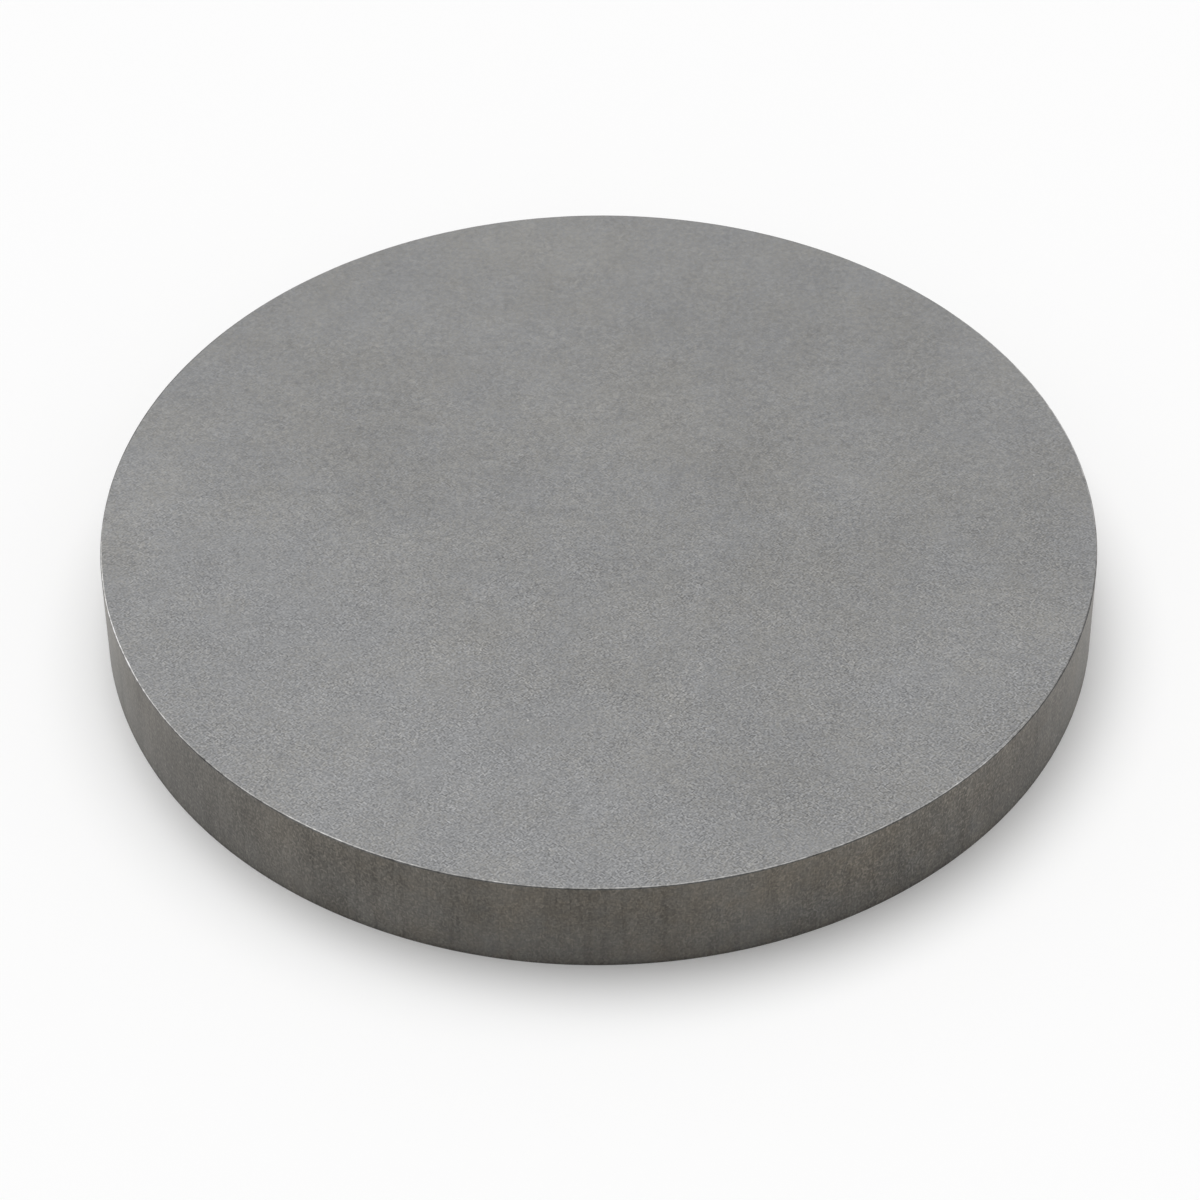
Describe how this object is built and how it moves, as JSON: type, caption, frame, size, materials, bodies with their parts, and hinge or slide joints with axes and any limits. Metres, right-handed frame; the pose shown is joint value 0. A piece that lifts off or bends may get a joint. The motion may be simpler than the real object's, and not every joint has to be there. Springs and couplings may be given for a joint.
{
  "type": "sputtering target",
  "caption": "Solid round plate of matt grey metal with two flat ground faces, a plain turned wall and lightly broken rims, used as the source in a sputter coater.",
  "frame": {"origin": "centre of the back face, the flat face the disc lies on", "axes": "+Z along the axis of the disc, pointing out of the sputter face; X and Y lie in the back face"},
  "size_m": [0.0762, 0.0762, 0.008],
  "materials": {
    "ground_metal": "matte"
  },
  "bodies": {
    "root": {"target_disc": "ground_metal"}
  },
  "joints": []
}
